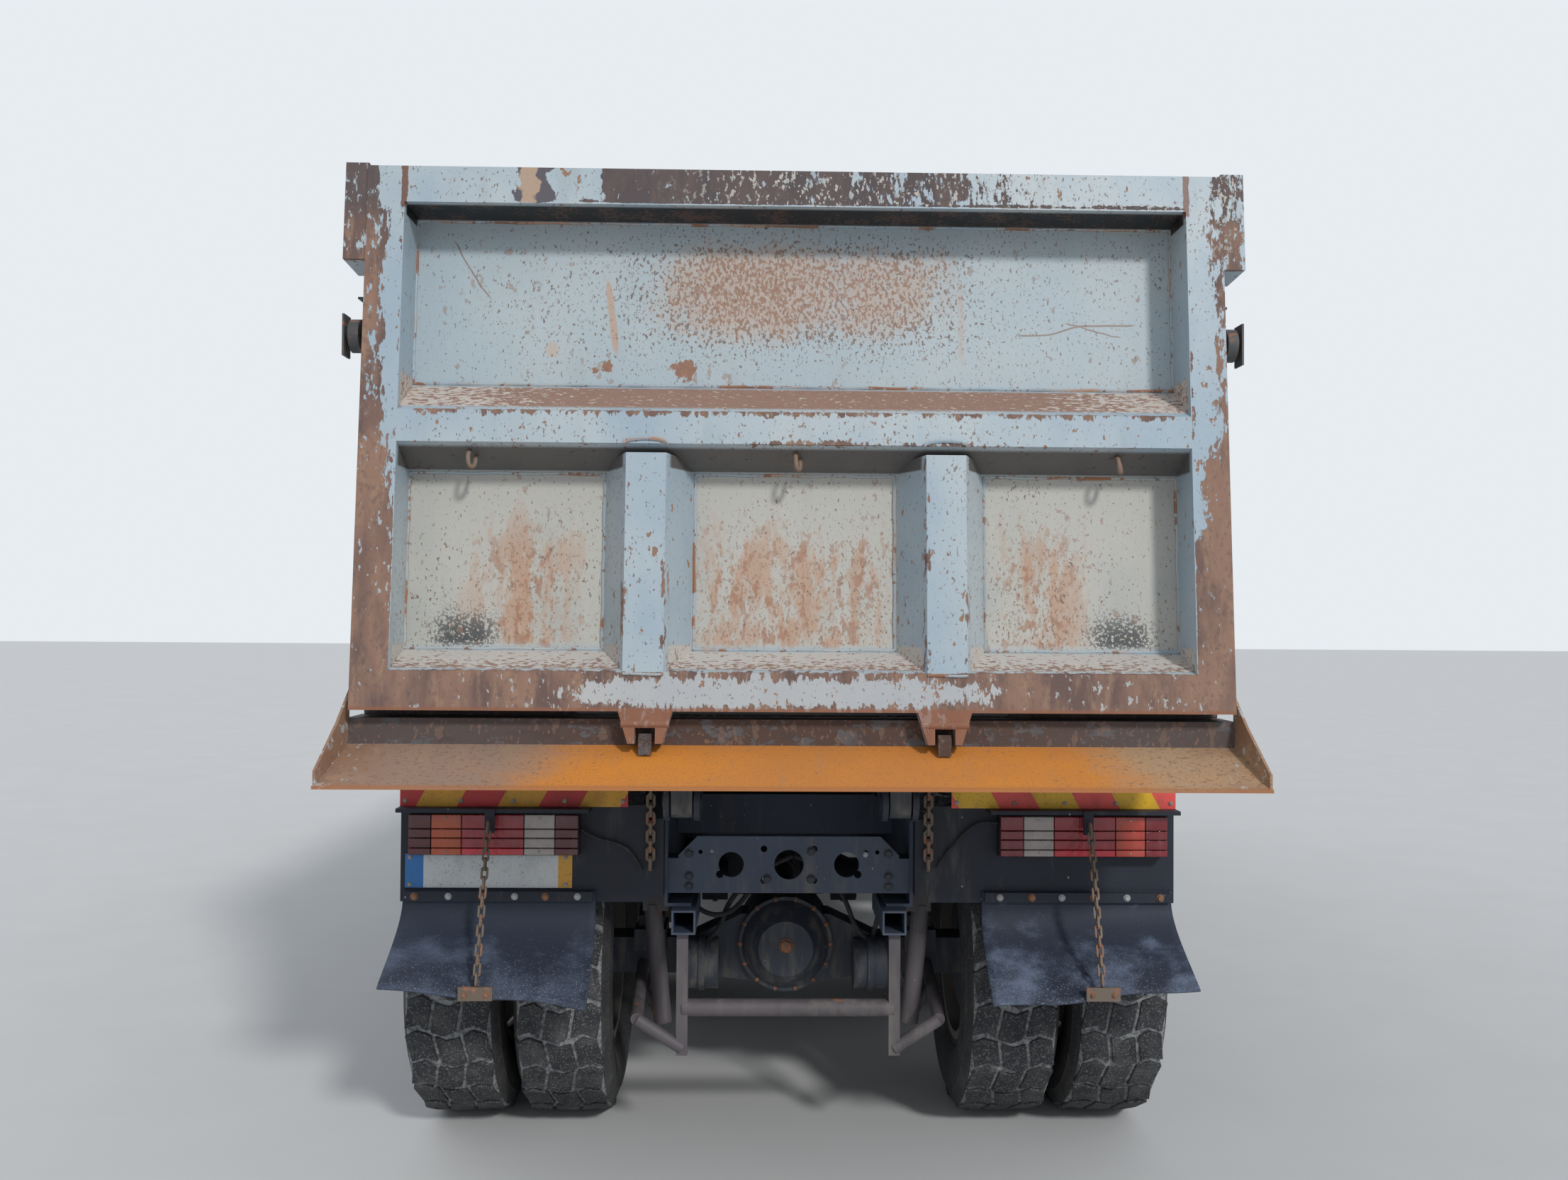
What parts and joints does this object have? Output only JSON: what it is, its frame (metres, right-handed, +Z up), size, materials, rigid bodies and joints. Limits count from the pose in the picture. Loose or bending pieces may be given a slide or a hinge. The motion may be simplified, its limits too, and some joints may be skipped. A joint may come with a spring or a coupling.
{
  "type": "dump truck",
  "caption": "Four-axle dump truck with a tilting cab, steered front wheels, twin rear wheels and a round-bottomed steel bed that tips on a hoist behind a top-hung tailgate",
  "frame": {"origin": "on the ground, midway between the lip of the chute and the front of the bumper, on the centre line", "axes": "+X points to the truck's right, +Y forward, +Z up"},
  "size_m": [2.6166, 8.497, 3.0111],
  "materials": {
    "chassis_paint": "worn dark blue-grey frame paint, dusty",
    "engine_paint": "dark grey cast housings",
    "bumper_plastic": "dark grey moulded plastic",
    "step_plastic": "black moulded plastic, dusty",
    "lamp_lens": "red, orange and clear lamp lenses",
    "plate_paint": "sheet metal with striped film, blank plate",
    "flap_rubber": "black rubber sheet",
    "chain_steel": "rusty steel chain",
    "axle_cast": "dusty, rusty castings and forgings",
    "tank_steel": "bare sheet metal",
    "bed_paint": "pale blue-grey paint, chipped and rusty",
    "chute_paint": "orange paint worn to bare steel",
    "hoist_chrome": "ground hoist stages",
    "cab_paint": "white gloss cab paint",
    "window_glass": "tinted window glass",
    "dash_plastic": "grey moulded plastic",
    "seat_fabric": "dark seat cloth",
    "tyre_rubber": "black rubber with pale mud",
    "rim_paint": "grey wheel paint, dusty"
  },
  "bodies": {
    "chassis": {"chassis_frame": "chassis_paint", "hoist_subframe": "chassis_paint", "driveline": "engine_paint", "bumper": "bumper_plastic", "lamps": "lamp_lens", "lamp_brackets": "chassis_paint", "rear_plates": "plate_paint", "mudflaps": "flap_rubber", "chains": "chain_steel", "cab_steps": "step_plastic", "mudguards": "step_plastic", "front_axles": "axle_cast", "rear_axles": "axle_cast", "leaf_springs": "axle_cast", "rear_links": "axle_cast", "right_tanks": "tank_steel", "left_side_gear": "step_plastic", "air_cleaner": "step_plastic"},
    "bed": {"bed_tub": "bed_paint", "bed_rear_frame": "bed_paint", "bed_chute": "chute_paint", "bed_runners": "bed_paint", "bed_side_rails": "bed_paint", "bed_wall_frame": "bed_paint", "bed_pulleys": "bed_paint"},
    "tailgate": {"tailgate": "bed_paint"},
    "cab": {"cab_shell": "cab_paint", "cab_glass": "window_glass", "cab_interior": "dash_plastic", "cab_seats": "seat_fabric", "cab_trim": "bumper_plastic"},
    "door_left": {"door_left": "cab_paint", "door_left_glass": "window_glass"},
    "door_right": {"door_right": "cab_paint", "door_right_glass": "window_glass"},
    "hoist_base": {"hoist_base": "chassis_paint"},
    "hoist_stage_1": {"hoist_stage_1": "hoist_chrome"},
    "hoist_stage_2": {"hoist_stage_2": "hoist_chrome"},
    "hoist_stage_3": {"hoist_stage_3": "hoist_chrome"},
    "hoist_stage_4": {"hoist_stage_4": "hoist_chrome"},
    "knuckle_1_left": {"knuckle_1_left": "axle_cast"},
    "knuckle_1_right": {"knuckle_1_right": "axle_cast"},
    "knuckle_2_left": {"knuckle_2_left": "axle_cast"},
    "knuckle_2_right": {"knuckle_2_right": "axle_cast"},
    "wheel_1_left": {"tyre_1_left": "tyre_rubber", "rim_1_left": "rim_paint"},
    "wheel_1_right": {"tyre_1_right": "tyre_rubber", "rim_1_right": "rim_paint"},
    "wheel_2_left": {"tyre_2_left": "tyre_rubber", "rim_2_left": "rim_paint"},
    "wheel_2_right": {"tyre_2_right": "tyre_rubber", "rim_2_right": "rim_paint"},
    "wheel_3_left": {"tyre_3_left": "tyre_rubber", "rim_3_left": "rim_paint"},
    "wheel_3_right": {"tyre_3_right": "tyre_rubber", "rim_3_right": "rim_paint"},
    "wheel_4_left": {"tyre_4_left": "tyre_rubber", "rim_4_left": "rim_paint"},
    "wheel_4_right": {"tyre_4_right": "tyre_rubber", "rim_4_right": "rim_paint"}
  },
  "joints": [
    {"name": "steer_1_left", "type": "hinge", "parent": "chassis", "child": "knuckle_1_left", "pos_m": [-0.8, 2.8085, 0.53], "axis": [0, 0, 1], "range_deg": [-35, 35]},
    {"name": "steer_1_right", "type": "hinge", "parent": "chassis", "child": "knuckle_1_right", "pos_m": [0.8, 2.8085, 0.53], "axis": [0, 0, 1], "range_deg": [-35, 35]},
    {"name": "steer_2_left", "type": "hinge", "parent": "chassis", "child": "knuckle_2_left", "pos_m": [-0.8, 1.1085, 0.53], "axis": [0, 0, 1], "range_deg": [-24.5, 24.5]},
    {"name": "steer_2_right", "type": "hinge", "parent": "chassis", "child": "knuckle_2_right", "pos_m": [0.8, 1.1085, 0.53], "axis": [0, 0, 1], "range_deg": [-24.5, 24.5]},
    {"name": "roll_1_left", "type": "hinge", "parent": "knuckle_1_left", "child": "wheel_1_left", "pos_m": [-1.02, 2.8085, 0.53], "axis": [1, 0, 0], "continuous": true},
    {"name": "roll_1_right", "type": "hinge", "parent": "knuckle_1_right", "child": "wheel_1_right", "pos_m": [1.02, 2.8085, 0.53], "axis": [1, 0, 0], "continuous": true},
    {"name": "roll_2_left", "type": "hinge", "parent": "knuckle_2_left", "child": "wheel_2_left", "pos_m": [-1.02, 1.1085, 0.53], "axis": [1, 0, 0], "continuous": true},
    {"name": "roll_2_right", "type": "hinge", "parent": "knuckle_2_right", "child": "wheel_2_right", "pos_m": [1.02, 1.1085, 0.53], "axis": [1, 0, 0], "continuous": true},
    {"name": "roll_3_left", "type": "hinge", "parent": "chassis", "child": "wheel_3_left", "pos_m": [-0.902, -1.6915, 0.53], "axis": [1, 0, 0], "continuous": true},
    {"name": "roll_3_right", "type": "hinge", "parent": "chassis", "child": "wheel_3_right", "pos_m": [0.902, -1.6915, 0.53], "axis": [1, 0, 0], "continuous": true},
    {"name": "roll_4_left", "type": "hinge", "parent": "chassis", "child": "wheel_4_left", "pos_m": [-0.902, -3.0415, 0.53], "axis": [1, 0, 0], "continuous": true},
    {"name": "roll_4_right", "type": "hinge", "parent": "chassis", "child": "wheel_4_right", "pos_m": [0.902, -3.0415, 0.53], "axis": [1, 0, 0], "continuous": true},
    {"name": "bed_tip", "type": "hinge", "parent": "chassis", "child": "bed", "pos_m": [0, -3.7415, 1.165], "axis": [1, 0, 0], "range_deg": [0, 48]},
    {"name": "tailgate_swing", "type": "hinge", "parent": "bed", "child": "tailgate", "pos_m": [0, -3.6615, 2.93], "axis": [-1, 0, 0], "range_deg": [0, 60]},
    {"name": "hoist_tilt", "type": "hinge", "parent": "chassis", "child": "hoist_base", "pos_m": [0, 2.1985, 0.98], "axis": [1, 0, 0], "range_deg": [0, 27.55]},
    {"name": "hoist_extend_1", "type": "slide", "parent": "hoist_base", "child": "hoist_stage_1", "axis": [0, -0.0136, 0.9999], "range_m": [0, 1.1791]},
    {"name": "hoist_extend_2", "type": "slide", "parent": "hoist_stage_1", "child": "hoist_stage_2", "axis": [0, -0.0136, 0.9999], "range_m": [0, 1.1791]},
    {"name": "hoist_extend_3", "type": "slide", "parent": "hoist_stage_2", "child": "hoist_stage_3", "axis": [0, -0.0136, 0.9999], "range_m": [0, 1.1791]},
    {"name": "hoist_extend_4", "type": "slide", "parent": "hoist_stage_3", "child": "hoist_stage_4", "axis": [0, -0.0136, 0.9999], "range_m": [0, 1.1791]},
    {"name": "cab_tilt", "type": "hinge", "parent": "chassis", "child": "cab", "pos_m": [0, 4.0985, 0.75], "axis": [-1, 0, 0], "range_deg": [0, 60]},
    {"name": "door_left_swing", "type": "hinge", "parent": "cab", "child": "door_left", "pos_m": [-1.163, 3.9185, 1.4], "axis": [0, 0, -1], "range_deg": [0, 70]},
    {"name": "door_right_swing", "type": "hinge", "parent": "cab", "child": "door_right", "pos_m": [1.163, 3.9185, 1.4], "axis": [0, 0, 1], "range_deg": [0, 70]}
  ],
  "couplings": [
    {"joint": "steer_1_right", "follows": "steer_1_left", "ratio": 1},
    {"joint": "steer_2_left", "follows": "steer_1_left", "ratio": 0.7},
    {"joint": "steer_2_right", "follows": "steer_1_left", "ratio": 0.7},
    {"joint": "hoist_tilt", "follows": "bed_tip", "ratio": 0.57373},
    {"joint": "hoist_extend_1", "follows": "bed_tip", "m_per_rad": 1.4068},
    {"joint": "hoist_extend_2", "follows": "bed_tip", "m_per_rad": 1.4068},
    {"joint": "hoist_extend_3", "follows": "bed_tip", "m_per_rad": 1.4068},
    {"joint": "hoist_extend_4", "follows": "bed_tip", "m_per_rad": 1.4068}
  ]
}
